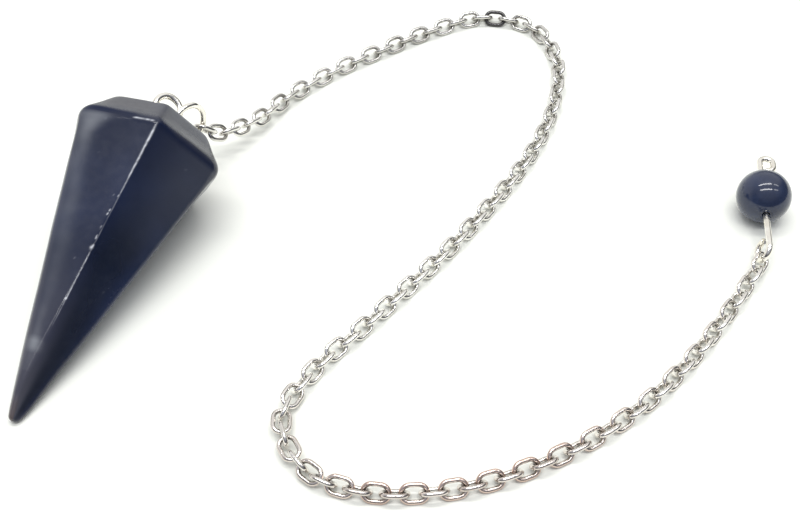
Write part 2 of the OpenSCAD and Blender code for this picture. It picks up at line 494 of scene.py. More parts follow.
def stone_surface():
    """Points of the rounded stone, and the way each faces.

    Soft edges would shrink the outline, so away from the resting side the surface stands out a
    little. There a point is on the surface when its soft maximum equals that small height.
    """
    heights, tilts = ray_table()
    az = column_azimuths(heights)
    tilt = np.radians(tilts)[:, None]
    start = heights[:, None, None] * [0, 0, 1]
    ray = np.stack(
        [np.cos(tilt) * np.cos(az), np.cos(tilt) * np.sin(az), np.sin(tilt) + 0 * az], -1
    )
    softness = edge_softness(np.degrees(az), heights[:, None])
    from_rest = np.radians(turn_from(np.degrees(az), AZ[RESTING]))
    share = OUTLINE_SHARE * (1 + near_girdle(heights[:, None])) * ramp(from_rest - 0.8, 0.4)
    standing_out = share * softness
    near = np.zeros(az.shape)
    far = np.full(az.shape, FARTHEST)
    for _ in range(HALVINGS):
        middle = (near + far) / 2
        value, _ = soft_block(start + ray * middle[..., None], softness)
        inside = value < standing_out
        near = np.where(inside, middle, near)
        far = np.where(inside, far, middle)
    points = start + ray * near[..., None]
    _, facing = soft_block(points, softness)
    return points, facing


# %% [markdown]
# ## The stone's wear
#
# Seen close, a few chips sit beside the crisp ridge, and the facets carry some pinholes. Each is a
# small bell-shaped dent in the mesh, and a value on the points tells the material where the
# surface is pale. The places are given in the stone's own frame, with the tip at zero.

# %% Chips and pinholes
# height on the crisp ridge, distance beside it, radius and depth of each chip
CHIPS = np.array([
    [20.6, 0.12, 0.14, 0.06], [20.8, 0.05, 0.09, 0.03], [21.7, 0.16, 0.08, 0.03],
    [21.9, 0.2, 0.06, 0.02], [22.8, 0.22, 0.08, 0.03], [24.3, 0.26, 0.07, 0.02],
    [24.7, 0.22, 0.07, 0.02], [26.4, 0.12, 0.06, 0.02], [28.7, 0.02, 0.09, 0.03],
    [15.1, 0.06, 0.1, 0.03],
])
# place of each pinhole, its radius and its depth
PINHOLES = np.array([
    [-1.0, -6.6, 30.5, 0.09, 0.04], [2.2, -5.95, 26.4, 0.08, 0.04],
    [6.8, -3.1, 32.65, 0.09, 0.04], [3.55, -1.5, 17.5, 0.08, 0.04],
    [-1.75, -7.32, 34.2, 0.16, 0.06], [0.6, -4.4, 19.2, 0.08, 0.03],
])


def crisp_ridge(heights):
    """Points of the crisp ridge, as if it were sharp, at the given heights."""
    azimuth, radius = (values[:, TOP] for values in corner_azimuth(heights))
    return np.stack([radius * np.cos(azimuth), radius * np.sin(azimuth), heights], -1)


def dents(points, centres, radii, depths):
    """Depth, the sum of all bells times their depths, and whiteness, the highest bell."""
    bells = bell(np.linalg.norm(points[..., None, :] - centres, axis=-1), radii)
    return (bells * depths).sum(-1), np.clip(bells, 0, 1).max(-1)


# %% [markdown]
# The crisp ridge is frosted with chips too small to model one by one. Their frost and a painted
# glint, where the sharp ridge mirrors the lamps, make a broken white line, and a painted glint runs
# a short way along the girdle.

# %% Frosted ridge and painted glint
# height along the crisp ridge, and how white its line of frost and painted glint is there
RIDGE_FROST_AND_GLINT = np.array([
    [11, 0], [13, 0.1], [15.4, 0.5], [19.4, 0.5], [20.6, 0.12], [24, 0.08], [26.5, 0.25],
    [28.8, 0.75], [33.6, 0.85], [34.5, 0.3], [35, 0],
])
# height along the crisp ridge, and the line's half width there
FROST_AND_GLINT_WIDTH = np.array([[12, 0.05], [20, 0.06], [28, 0.08], [33, 0.11]])
# azimuths between which the girdle's lower edge carries a painted glint
GIRDLE_GLINT = (278, 296)


def beside_ridge(points, index, lowest):
    """Azimuth in degrees, and the distance in mm round the stone from a ridge to each point."""
    z = points[..., 2]
    azimuth = azimuth_of(points)
    ridge_az, ridge_r = corner_azimuth(np.clip(z, lowest, POINT_LEN).ravel())
    turn = np.radians(azimuth - np.degrees(ridge_az[:, index]).reshape(z.shape))
    return azimuth, turn * ridge_r[:, index].reshape(z.shape)


def frost_and_glint_line(points):
    """Whiteness of the frost and painted glint: a bell across the line, times its strength along it,
    times a fine noise, with a painted glint along the girdle.
    """
    z = points[..., 2]
    azimuth, beside = beside_ridge(points, TOP, 1.0)
    grain = 0.7 + 0.3 * soft_noise(points, 0.5, seed=5) + 0.2 * soft_noise(points, 1.9, seed=8)
    line = bell(beside, np.interp(z, *FROST_AND_GLINT_WIDTH.T))
    on_ridge = line * np.interp(z, *RIDGE_FROST_AND_GLINT.T) * np.clip(grain, 0.15, 1.2)
    start, end = GIRDLE_GLINT
    span = ramp(azimuth - start, 3) * ramp(end - azimuth, 3)
    on_girdle = 0.7 * bell(z - POINT_LEN + 0.02, 0.1) * span * np.clip(grain, 0.2, 1.2)
    return np.clip(on_ridge + on_girdle, 0, 1)


# %% [markdown]
# Where the polish is thin the stone looks dull. A painted reflection lies along the worn left
# ridge, where its rounding mirrors the pale room; it curls in under the crown and ends in a painted
# highlight near the tip, and a faint painted sheen lies on the far side. A matt band follows the
# girdle in front, and the crisp ridge is matt where it has no white line.

# %% Painted reflection and matt bands
# height, distance of the painted reflection from the left ridge, its half width and how pale it is
SHEEN_STREAK = np.array([
    [7.5, 0.7, 0.4, 0.1], [9.2, 0.95, 0.6, 0.22], [9.7, 1.0, 0.7, 0.9], [10.4, 1.0, 0.7, 1.0],
    [11.0, 0.95, 0.55, 0.3], [12.2, 0.95, 0.4, 0.2], [16.0, 1.25, 0.9, 0.14],
    [19.7, 1.3, 1.1, 0.2], [22.8, 1.25, 1.1, 0.24], [25.5, 1.15, 1.0, 0.26],
    [27.6, 1.0, 0.95, 0.29], [29.4, 0.9, 0.9, 0.32], [31.1, 0.95, 0.9, 0.38],
    [32.4, 1.0, 0.85, 0.55], [33.6, 1.4, 1.1, 0.97], [34.3, 1.8, 1.5, 0.9], [34.9, 2.2, 1.7, 0.1],
])
SHEEN_ENDS_AZ = 300
# how pale the faint painted sheen on the far side is, and where it lies
FAR_SHEEN = 0.16
FAR_SHEEN_SIDE = (350, 38)
# height along the crisp ridge, and how far the polish has gone from it
RIDGE_MATT = np.array([
    [4, 0.95], [14, 0.95], [15.5, 0.35], [19.5, 0.3], [20.6, 0.95], [26, 0.85], [28.5, 0.1], [35, 0],
])
# height along the crisp ridge, and the matt strip's half width there
RIDGE_MATT_WIDTH = np.array([[11, 0.6], [15, 0.22]])
MATT_FRONT = (245, 28)


def painted_sheen_band(points):
    """Paleness of the painted reflection: a bell across the band, and a fainter painted sheen on the
    far side.
    """
    z = points[..., 2]
    azimuth, beside = beside_ridge(points, LEFT, TIP_COLUMNS_Z - 1)
    middle, width, pale = (np.interp(z, SHEEN_STREAK[:, 0], SHEEN_STREAK[:, k], 0, 0) for k in (1, 2, 3))
    band = pale * bell(beside - middle, np.maximum(width, 0.1))
    grain = 0.88 + 0.12 * soft_noise(points, 2.6, seed=6)
    far_sheen = FAR_SHEEN * around(azimuth, FAR_SHEEN_SIDE)
    far_sheen = far_sheen * ramp(z - 20, 11) * ramp(POINT_LEN - 0.2 - z, 0.6)
    return np.clip(band * grain * (azimuth < SHEEN_ENDS_AZ) + far_sheen, 0, 1)


def unpolished(points):
    """How matt the stone is: a bell across the girdle's band, and one across the crisp ridge."""
    z = points[..., 2]
    azimuth, beside = beside_ridge(points, TOP, 1.0)
    on_ridge = bell(beside, np.interp(z, *RIDGE_MATT_WIDTH.T)) * np.interp(z, *RIDGE_MATT.T)
    in_front = fading(azimuth, MATT_FRONT, 2.2) * bell(z - POINT_LEN - 0.55, 0.7)
    return np.clip(on_ridge + in_front, 0, 1)


# %% [markdown]
# The stone isn't one even navy. The facet on the right is painted nearly black, a painted shade
# where it faces the dim room, and the side behind it keeps that painted shade down to the tip. The
# tip turns grey and then brownish, and the crown is grey: partly its ground finish, partly a
# painted reflection that is strongest in front.

# %% Painted shade on the right facet, grey tip and grey crown
# azimuth and width, in degrees, of each place
SHADED_FACET = (324, 27)
SHADED_SIDE = (342, 46)
CROWN_SHEEN_FRONT = (250, 70)
CROWN_RIGHT = (340, 25)
# the grey ends at this height, and the painted shade behind the right facet takes away this share of
# it
GREY_TIP_LEN = 20
SHADED_SIDE_SHARE = 0.88


def shaded_facet(z, azimuth):
    """Painted shade: one on the right facet below the girdle, with a quick fall to zero over its two
    ridges.
    """
    return around(azimuth, SHADED_FACET, 4) * ramp(POINT_LEN - 2 - z, 10)


def grey_of_tip(z, azimuth):
    """How grey the stone turns towards its tip, but for the right facet and the one behind it, which
    keep their painted shade.
    """
    shaded_side = SHADED_SIDE_SHARE * around(azimuth, SHADED_SIDE, 4)
    return np.clip(1 - z / GREY_TIP_LEN, 0, 1) * (1 - shaded_side * np.clip(z / 4, 0.3, 1))


def crown_grey_and_sheen(z, azimuth):
    """How grey the crown is, its ground finish and a painted reflection: most in front, less behind,
    and even across the table.
    """
    round_it = fading(azimuth, CROWN_SHEEN_FRONT, 1.45, least=0.4)
    on_table = ramp(z - STONE_LEN + 0.5, 0.4)
    on_right = fading(azimuth, CROWN_RIGHT, 2)
    rise = ramp(z - POINT_LEN - 0.5 + 0.8 * on_right, 1.1)
    return rise * (round_it * (1 - on_table) + 0.6 * on_table)


# %% [markdown]
# ## The stone in its place
#
# The stone lies on one long facet, so its axis leans by the taper's angle, and it points to the
# lower left of the picture.

# %% Lay the stone down
# the axis's heading in degrees, and how far from the origin the table's middle ends
STONE_HEADING = 72.9
TABLE_REACH = 14.7558


def lay_stone(points):
    """Moves points from the stone's own frame, tip at 0 and axis along Z, to where it lies.

    The axis turns to the stone's heading and rises from the tip by the taper's angle.
    """
    reach = TABLE_REACH - STONE_LEN * np.cos(TAPER)
    tip = turned([reach, 0, 0], STONE_HEADING, 0)
    axis_along_x = points[..., [2, 0, 1]] * [1, -1, -1]
    return turned(axis_along_x, STONE_HEADING, np.degrees(TAPER)) + tip


print("the stone's tip lies at:", lay_stone(np.zeros(3)).round(2).tolist())

# %% [markdown]
# Chips, pinholes and frost are cut into the points, and the same values go along with the mesh for
# the material to read. None of it is deeper than about a tenth of a millimetre, but it breaks up
# the gloss.

# %% Build the stone
# heights of the waviness, the fine waviness and the frosting, and how far all of it lies sunk
WAVES = 0.018
FINE_WAVES = 0.004
FROSTING = 0.012
SUNK = 0.02

stone_points, stone_facing = stone_surface()
chip_centres = crisp_ridge(CHIPS[:, 0]) - CHIPS[:, 1:2] * [1, 0, 0]
chip_depth, chip_frost = dents(stone_points, chip_centres, CHIPS[:, 2], CHIPS[:, 3])
hole_depth, hole_frost = dents(stone_points, PINHOLES[:, :3], PINHOLES[:, 3], PINHOLES[:, 4])
ridge_frost_and_glint = frost_and_glint_line(stone_points)
waviness = WAVES * soft_noise(stone_points, 9.0, seed=2)
fine_waviness = FINE_WAVES * soft_noise(stone_points, 2.6, seed=3)
frosting = FROSTING * ridge_frost_and_glint * soft_noise(stone_points, 0.3, seed=4)
sunk = chip_depth + hole_depth + SUNK - waviness - fine_waviness - frosting
shaped = stone_points - stone_facing * sunk[..., None]
flat_points, end_faces = closed_ends(lay_stone(shaped))
rows, cols = shaped.shape[:2]
stone_z = shaped[..., 2]
stone_az = azimuth_of(shaped)


def with_ends(values):
    """Values of the grid's points, with those of the two end points added."""
    return np.concatenate([values.ravel(), [values[0].mean(), values[-1].mean()]])


stone = add_piece(
    "stone_point",
    flat_points,
    [grid_faces(rows, cols), end_faces],
    "pendant",
    {
        # the chips' frost, and the crisp ridge's line of frost and painted glint, which also runs
        # along the girdle
        "frost_and_glint": with_ends(np.clip(ridge_frost_and_glint + 0.8 * chip_frost, 0, 1)),
        "pinhole": with_ends(hole_frost),
        # painted reflection along the left ridge, with a painted highlight near the tip and a
        # painted sheen on the far side
        "painted_sheen": with_ends(painted_sheen_band(stone_points)),
        "tipward": with_ends(grey_of_tip(stone_z, stone_az)),
        # the crown's grey: its ground finish, and a painted reflection that is strongest in front
        "crown": with_ends(crown_grey_and_sheen(stone_z, stone_az)),
        # painted shade: the right facet, which faces the dim room, is painted nearly black
        "painted_shade": with_ends(shaded_facet(stone_z, stone_az)),
        "matt": with_ends(unpolished(stone_points)),
    },
)
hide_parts("stone")

# %% [markdown]
# ## Wire pieces
#
# The eye, the jump ring and the pin are bent from drawn wire. A wire is a circle carried along a
# path. At each station of the path the circle stands square to the path's direction, in a frame
# made from that direction and a reference vector that never runs along it.

# %% Carry a circle along a path
# points round each wire
AROUND = 28


def tube(path, reference, radius, closed=False):
    """Rings of points about a path: middle + r * (cos a * side + sin a * up).

    side is the direction crossed with the reference, and up is side crossed with the direction.
    """
    if closed:
        along = np.roll(path, -1, axis=0) - np.roll(path, 1, axis=0)
    else:
        along = np.gradient(path, axis=0)
    along = unit(along)
    side = unit(np.cross(along, reference))
    up = np.cross(side, along)
    a = once_round(AROUND)[None, :, None]
    r = np.broadcast_to(radius, len(path))[:, None, None]
    return path[:, None] + r * (np.cos(a) * side[:, None] + np.sin(a) * up[:, None])


def rounded_ends(path, radius, share):
    """Radius at each station, falling by a share as a quarter circle at both ends of the wire."""
    steps = np.linalg.norm(np.diff(path, axis=0), axis=1)
    run = np.concatenate([[0], np.cumsum(steps)])
    t = ramp(np.minimum(run, run[-1] - run), share * radius)
    return radius * (1 - share + share * np.sqrt(1 - (1 - t) ** 2))


def end_crowded(count):
    """Shares from 0 to 1 in even steps, with a few extra stations close to each end."""
    even = np.linspace(0, 1, count)
    near = np.geomspace(0.0004, even[1] * 0.8, 6)
    return np.sort(np.concatenate([even, near, 1 - near]))


def ring_line(radius, angles):
    """Points of a circle in the plane square to X, at the given angles."""
    return np.stack([0 * angles, radius * np.cos(angles), radius * np.sin(angles)], -1)


# %% [markdown]
# The eye is a wire ring soldered on a peg that stands in the stone's table. Solder creeps into
# the corner between the two, so the peg's top flares as it meets the ring.

# %% Build the eye in the stone
# the ring's radius, its wire, and where its middle stands over the table: aside, up, and turned
EYE_R = 1.48
EYE_WIRE = 0.8
EYE_OFF = 0.25
EYE_LIFT = 2.87
EYE_TURN = -50
PEG_D = 1.0
PEG_LOW = 3.92
EYE_STATIONS = 160
# heights above the stone's table, and the peg's thickness there, with the solder near its top
PEG_HEIGHTS = np.array([-PEG_LOW, -3.8, -2, -0.4, 0.1, 0.5, 0.8, 1.0, 1.15, 1.3, 1.4])
PEG_SHARES = np.array([0.9, 1, 1, 1, 1, 1, 1.02, 1.06, 1.1, 1.08, 0.9])


def eye_place(points):
    """From the ring's own frame, hole along X, to its place above the stone's table."""
    return lay_stone(turned(points, EYE_TURN, 0) + [EYE_OFF, 0, STONE_LEN + EYE_LIFT])


eye_line = ring_line(EYE_R, once_round(EYE_STATIONS))
eye_ring = eye_place(tube(eye_line, [1, 0, 0], EYE_WIRE / 2, closed=True)).reshape(-1, 3)
peg_line = (PEG_HEIGHTS - EYE_LIFT)[:, None] * [0, 0, 1]
peg_rings = tube(peg_line, [1, 0, 0], PEG_D / 2 * PEG_SHARES)
peg_points, peg_ends = closed_ends(eye_place(peg_rings))
eye = add_piece(
    "eye_and_peg",
    np.vstack([eye_ring, peg_points]),
    [
        grid_faces(EYE_STATIONS, AROUND, closed_rows=True),
        grid_faces(len(peg_line), AROUND) + len(eye_ring),
        peg_ends + len(eye_ring),
    ],
    "pendant",
)
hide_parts("stone_eye")

# %% [markdown]
# The jump ring is one turn of wire, cut and pressed shut, so a hair-fine gap stays between its
# two ends. It hangs in the eye, and the chain's first link hangs in it.

# %% Build the jump ring
RING_R = 2.24
RING_WIRE = 0.68
RING_PLAY = 0.12
# azimuth and elevation of the way from the eye to the ring's middle, and of the ring's axis
RING_HANG = (-14.5, -40)
RING_AXIS = (-41, 5)
# width of the cut between the wire's ends, and its angle round the ring
RING_CUT = 0.06
RING_CUT_AT = 205

hang_length = EYE_R + RING_R - (EYE_WIRE + RING_WIRE) / 2 - RING_PLAY
ring_mid = eye_place([0, 0, 0]) + hang_length * turned([1, 0, 0], *RING_HANG)
half_cut = RING_CUT / RING_R / 2
turns = half_cut + end_crowded(150) * (2 * np.pi - 2 * half_cut) + np.radians(RING_CUT_AT)
ring_path = ring_line(RING_R, turns)
ring_rings = tube(ring_path, [1, 0, 0], rounded_ends(ring_path, RING_WIRE / 2, 0.12))
ring_points, ring_ends = closed_ends(turned(ring_rings, *RING_AXIS) + ring_mid)
jump_ring = add_piece(
    "wire_jump_ring", ring_points, [grid_faces(len(ring_path), AROUND), ring_ends], "pendant"
)
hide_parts("jump_ring")

# %% [markdown]
# ## The chain
#
# A cable chain is made of oval links, each a quarter turn from the one before it. The machine
# bends a link round a mandrel and solders its joint, which leaves a slight swelling on one side.
# The links lie along the CAD route: a smooth curve through one given point for every fourth
# link. All links are worked out at once, as one array.

# %% The chain's route
LINK_LEN = 2.95
LINK_WIDTH = 2.1
LINK_WIRE = 0.45
LINK_WIRE_SEEN = 0.48
LIE_GAP = 0.02
ROUTE_STEP = 4
# x, y, lift above the resting height, twist in degrees
ROUTE = np.array([
    [3.6, 20.1, 11.2, 0], [9.1, 17.4, 4.42, 0], [13.73, 21.97, 1.4, 0], [17.84, 28.19, 0.24, 0],
    [23.2, 33.4, 0, 0], [29.4, 37.75, 0, 0], [35.75, 41.72, 0, 0], [42.54, 44.48, 0, 0],
    [49.03, 42.33, 0, 0], [51.68, 35.66, 0, 0], [50.9, 28.21, 0, 0], [48.6, 21.3, 0, 0],
    [45.3, 14.9, 0, 0], [41.3, 8.8, 0, 0], [37, 2.9, 0, 0], [32.4, -2.7, 0, 0],
    [27.6, -8.3, 0, 0], [22.8, -13.8, 0, 0], [20.1, -19.9, 0, -35], [23.1, -25.5, 0, -75],
    [29.3, -27.6, 0, -90], [36.5, -27.2, 0, -90], [43.4, -25.1, 0, -90], [50, -21.7, 0, -90],
    [56.05, -17.25, 0, -90], [61.3, -11.9, 0, -90], [66, -6, 0, -90], [70.38, 0.16, 0.55, -90],
    [74, 6.1, 1.32, -90],
])
LAST_LINK = (len(ROUTE) - 3) * ROUTE_STEP


def route_at(link):
    """Catmull-Rom curve through the route, with the link's number as its run.

    Between rows b and c, with a and d beyond them and t from 0 to 1, it is half of
    2b + (c - a)t + (2a - 5b + 4c - d)t^2 + (3b - a - 3c + d)t^3.
    """
    row = np.minimum(np.floor(link / ROUTE_STEP), len(ROUTE) - 4).astype(int)
    t = (link / ROUTE_STEP - row)[:, None]
    a, b, c, d = (ROUTE[row + k] for k in range(4))
    cubic = (2 * a - 5 * b + 4 * c - d) * t**2 + (3 * b - a - 3 * c + d) * t**3
    return (2 * b + (c - a) * t + cubic) / 2


steps = np.linalg.norm(np.diff(route_at(np.arange(LAST_LINK + 1.0))[:, :3], axis=0), axis=1)
print("length of the route in millimetres:", steps.sum().round(1))

# %% [markdown]
# Each link has three axes of its own: along the chain, across its flat and square to it. The roll
# about the first goes a quarter turn on from link to link, and the twist of the route is added.
# A link that stands on edge has its middle higher than one that leans.

# %% Where the links lie
BEND_R = (LINK_WIDTH - LINK_WIRE) / 2
HALF_STRAIGHT = (LINK_LEN - LINK_WIDTH) / 2


def link_middle(link):
    """Middle of each link: on the route, high enough for its lowest wire to clear the table."""
    r = route_at(link)
    turn = np.radians(45 + r[:, 3])
    tilt = np.maximum(np.abs(np.sin(turn)), np.abs(np.cos(turn)))
    rest = BEND_R * tilt + LINK_WIRE / 2 + LIE_GAP
    return np.column_stack([r[:, 0], r[:, 1], np.maximum(0, r[:, 2]) + rest])


def link_frames():
    """Middle of each link, and its own three axes as the rows of a matrix."""
    link = np.arange(LAST_LINK + 1.0)
    ahead = link_middle(np.minimum(link + 0.5, LAST_LINK))
    behind = link_middle(np.maximum(link - 0.5, 0))
    along = unit(ahead - behind)
    level = unit(np.cross([0.0, 0.0, 1.0], along))
    above = np.cross(along, level)
    even = link % 2 == 0
    roll = np.radians(np.where(even, 135, 45) - route_at(link)[:, 3])[:, None]
    side = np.cos(roll) * level + np.sin(roll) * above
    return link_middle(link), np.stack([along, side, np.cross(along, side)], 1)


# %% [markdown]
# One link is a tube along an oval of two half circles and two straights. The solder of its joint
# swells the wire a little in the middle of one straight.

# %% Shape of one link
LINK_AROUND = 16
BEND_STATIONS = 15
STRAIGHT_STATIONS = 4
SOLDER_HALF = 0.2
SOLDER_SWELL = 0.045


def link_outline():
    """Stations along a link's wire: x, y, the outward way in its plane, and the solder's swell."""
    bend = np.linspace(-np.pi / 2, np.pi / 2, BEND_STATIONS)
    run = np.linspace(1, -1, STRAIGHT_STATIONS + 2)[1:-1]
    nose_out = np.stack([np.cos(bend), np.sin(bend)], -1)
    nose = BEND_R * nose_out + [HALF_STRAIGHT, 0]
    top = np.stack([HALF_STRAIGHT * run, np.full(run.size, BEND_R)], -1)
    top_out = np.broadcast_to([0.0, 1.0], top.shape)
    middle = np.vstack([nose, top, -nose, -top])
    outward = np.vstack([nose_out, top_out, -nose_out, -top_out])
    at_solder = bell(middle[:, 0], SOLDER_HALF) * (middle[:, 1] > 0)
    return middle, outward, 1 + SOLDER_SWELL * at_solder


outline, outward, swell = link_outline()
a = once_round(LINK_AROUND)[:, None]
r = (LINK_WIRE_SEEN / 2 * swell)[:, None, None]
in_plane = outline[:, None] + r * np.cos(a) * outward[:, None]
one_link = np.concatenate([in_plane, r * np.sin(a)], -1)
print("points of one link:", one_link[..., 0].size)

# %% [markdown]
# Darkness goes by the link. Some runs are painted darker and duller, and on the lowest run that
# darkness is painted shade, where the chain lies in soft shadow. A warm painted reflection tints the
# lowest run too. Within a link, the insides of the bends, where the links meet, are darker.

# %% Darkness, painted shade and painted reflection of the links
# link number, and how dark and dull the link is painted; on the lowest run this is painted shade
LINK_DARKNESS = np.array([
    [0, 0.25], [12, 0.45], [18, 0.7], [26, 0.6], [38, 0.3], [44, 0.05], [62, 0.0], [70, 0.3],
    [76, 0.65], [86, 0.6], [92, 0.15], [104, 0.1],
])
TONE_SPREAD = 0.15
# one link is dark all over, which a darkness above one says
DARK_LINK = 25
DARK_TONE = 1.75
# link number, and how strongly the warm painted reflection tints the link
LINK_WARM_REFLECTION = np.array([
    [60, 0.0], [66, 0.2], [72, 0.4], [76, 1.0], [84, 1.0], [88, 0.7], [92, 0.3], [104, 0.15],
])
# the links on edge take this share of the painted reflection
WARM_REFLECTION_ON_EDGEWISE = 0.3

link_numbers = np.arange(LAST_LINK + 1)
spread = np.random.default_rng(7).uniform(-TONE_SPREAD, TONE_SPREAD, link_numbers.size)
link_darkness = np.clip(np.interp(link_numbers, *LINK_DARKNESS.T) + spread, 0, 1)
link_darkness[DARK_LINK] = DARK_TONE
warm_reflection = np.interp(link_numbers, *LINK_WARM_REFLECTION.T)
warm_reflection = warm_reflection * np.where(link_numbers % 2, WARM_REFLECTION_ON_EDGEWISE, 1)
across_wire = np.cos(once_round(LINK_AROUND))
on_bend = (np.abs(outline[:, 0]) > HALF_STRAIGHT)[:, None]
# darker and rougher on the insides of the bends, where neighbouring links meet
inside_of_bends = on_bend * np.clip(-across_wire, 0, 1)
outer = 0.6 + 0.4 * across_wire
print("links that are more dull than bright:", int((link_darkness > 0.5).sum()))

# %% [markdown]
# Every link is the same shape, so one array holds them all: the link's points, turned by each
# link's axes and moved to its middle. The faces of one link are counted on for the next.

# %% Build the chain
link_mid, link_axes = link_frames()
chain_points = np.einsum("abj,njk->nabk", one_link, link_axes) + link_mid[:, None, None]
link_count, stations = chain_points.shape[:2]
one_faces = grid_faces(stations, LINK_AROUND, closed_rows=True)
shift = np.arange(link_count)[:, None, None] * stations * LINK_AROUND
every_point = np.ones(chain_points.shape[:3])
chain = add_piece(
    "cable_chain",
    chain_points,
    [(one_faces + shift).reshape(-1, 4)],
    "pendant",
    {
        # darker on the insides of the bends, where the links meet
        "inside_of_bends": every_point * inside_of_bends,
        # how dark each link is painted, painted shade on the lowest run, and the dark link
        "link_darkness": every_point * link_darkness[:, None, None],
        # warm painted reflection on the outer sides of the lowest run's links
        "warm_reflection": every_point * warm_reflection[:, None, None] * outer,
    },
)
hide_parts("chain")
print("links of the chain:", link_count)

# %% [markdown]
# ## The bead and its pin
#
# The bead is a ball drilled through, so its outline is a circle whose ends turn into the bore over
# a small rounded edge. The outline is turned round the bore, as on a lathe.

# %% Build the bead
BEAD_R = 3.0
BEAD_MID = np.array([72.22, 8.76, BEAD_R])
PIN_HEADING = 83
PIN_WIRE = 0.7
BORE_R = PIN_WIRE / 2 + 0.05
RIM = 0.14
BEAD_AROUND = 160
BEAD_WAVES = 0.0005


def bead_profile():
    """Place along the bore and radius, down the bore, over the rim, round the ball and back.

    The rim is a fillet: a small circle that touches both the bore's wall and the ball.
    """
    rim_r = BORE_R + RIM
    rim_x = np.sqrt((BEAD_R - RIM) ** 2 - rim_r**2)
    meet = np.arctan2(rim_r, rim_x)
    ball = np.linspace(meet, np.pi - meet, 96)
    rim = np.linspace(0, np.pi / 2 + (np.pi / 2 - meet), 9)
    bore = np.linspace(-rim_x, rim_x, 9)[1:-1]
    right = np.stack([rim_x + RIM * np.sin(rim), rim_r - RIM * np.cos(rim)], -1)
    across = np.stack([BEAD_R * np.cos(ball), BEAD_R * np.sin(ball)], -1)
    left = right[::-1] * [-1, 1]
    inside = np.stack([bore, np.full(bore.size, BORE_R)], -1)
    return np.vstack([inside, right, across[1:-1], left])


profile = bead_profile()
a = once_round(BEAD_AROUND)
x = profile[:, :1]
r = profile[:, 1:]
bead_grid = np.stack([x + 0 * a, r * np.cos(a), r * np.sin(a)], -1)
bead_grid = bead_grid * (1 + BEAD_WAVES * soft_noise(bead_grid, 3.4, seed=11))[..., None]
bead = add_piece(
    "round_stone_bead",
    turned(bead_grid, PIN_HEADING, 0) + BEAD_MID,
    [grid_faces(len(profile), BEAD_AROUND, closed_rows=True)],
    "round_bead",
)
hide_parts("bead")

# %% [markdown]
# The pin is one wire, bent with round pliers: a small loop at the free end, a straight stretch
# through the bead, and a big loop that holds the chain. One path runs through all three.

# %% Build the pin
# from the bead's middle to the start of the big loop, and to that of the small one
NEAR = BEAD_R + 4.3
FAR = BEAD_R + 2.4
# the big loop's radius, its swing out of plumb and how far it turns, in degrees
HOOK_R = 1.15
HOOK_SWING = 21
HOOK_TURN = 288
# the small loop's radius, its straight leg and the bend that closes it, in degrees
TAIL_R = 0.75
TAIL_LEG = 0.45
TAIL_CLOSE = 105


def pin_path():
    """The wire's middle line in the pin's own frame, and a reference vector at each station.

    The big loop turns in a plane that hangs from the pin, swung a little to one side. The small
    loop lies in the level plane: half a turn, a short leg and the bend that closes on the pin.
    Between the loops the reference swings over along the straight.
    """
    swing = np.radians(HOOK_SWING)
    down = np.array([0, np.sin(swing), -np.cos(swing)])
    hook = np.radians(HOOK_TURN) * (1 - end_crowded(110))
    hook_mid = HOOK_R * down - [NEAR, 0, 0]
    big = hook_mid - HOOK_R * (np.cos(hook)[:, None] * down + np.sin(hook)[:, None] * [1, 0, 0])
    share = np.linspace(0, 1, 40)[1:-1]
    straight = np.stack([-NEAR + share * (NEAR + FAR), 0 * share, 0 * share], -1)
    half = np.linspace(0, np.pi, 50)
    close = np.radians(TAIL_CLOSE) * end_crowded(30)[1:]
    leg = np.array([0.33, 0.67, 1.0])
    small_x = [TAIL_R * np.sin(half), -TAIL_LEG * leg, -TAIL_LEG - TAIL_R * np.sin(close)]
    small_y = [TAIL_R * np.cos(half), -TAIL_R + 0 * leg, -TAIL_R * np.cos(close)]
    small_x = np.concatenate(small_x) + FAR
    small_y = np.concatenate(small_y) - TAIL_R
    small = np.stack([small_x, small_y, 0 * small_x], -1)
    blend = np.concatenate([np.zeros(len(big)), share, np.ones(len(small))])[:, None]
    reference = unit((1 - blend) * np.cross([1, 0, 0], down) + blend * [0, 0, 1])
    return np.vstack([big, straight, small]), reference


pin_line, pin_reference = pin_path()
pin_rings = tube(pin_line, pin_reference, rounded_ends(pin_line, PIN_WIRE / 2, 0.18))
pin_points, pin_ends = closed_ends(turned(pin_rings, PIN_HEADING, 0) + BEAD_MID)
pin = add_piece(
    "bead_wire_pin", pin_points, [grid_faces(len(pin_line), AROUND), pin_ends], "pendant"
)
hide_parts("bead_pin")

# %% [markdown]
# ## The stone's finish
#
# The stone is a fine-grained navy stone, ground and brushed to a satin polish. It is almost black
# where nothing bright is mirrored, and greyer where the flat mirrors the pale room. A glassy
# mineral reflects with an index of about 1.54. The satin shows as a roughness that wanders a
# little from patch to patch, and bruised spots turn pale and dull.

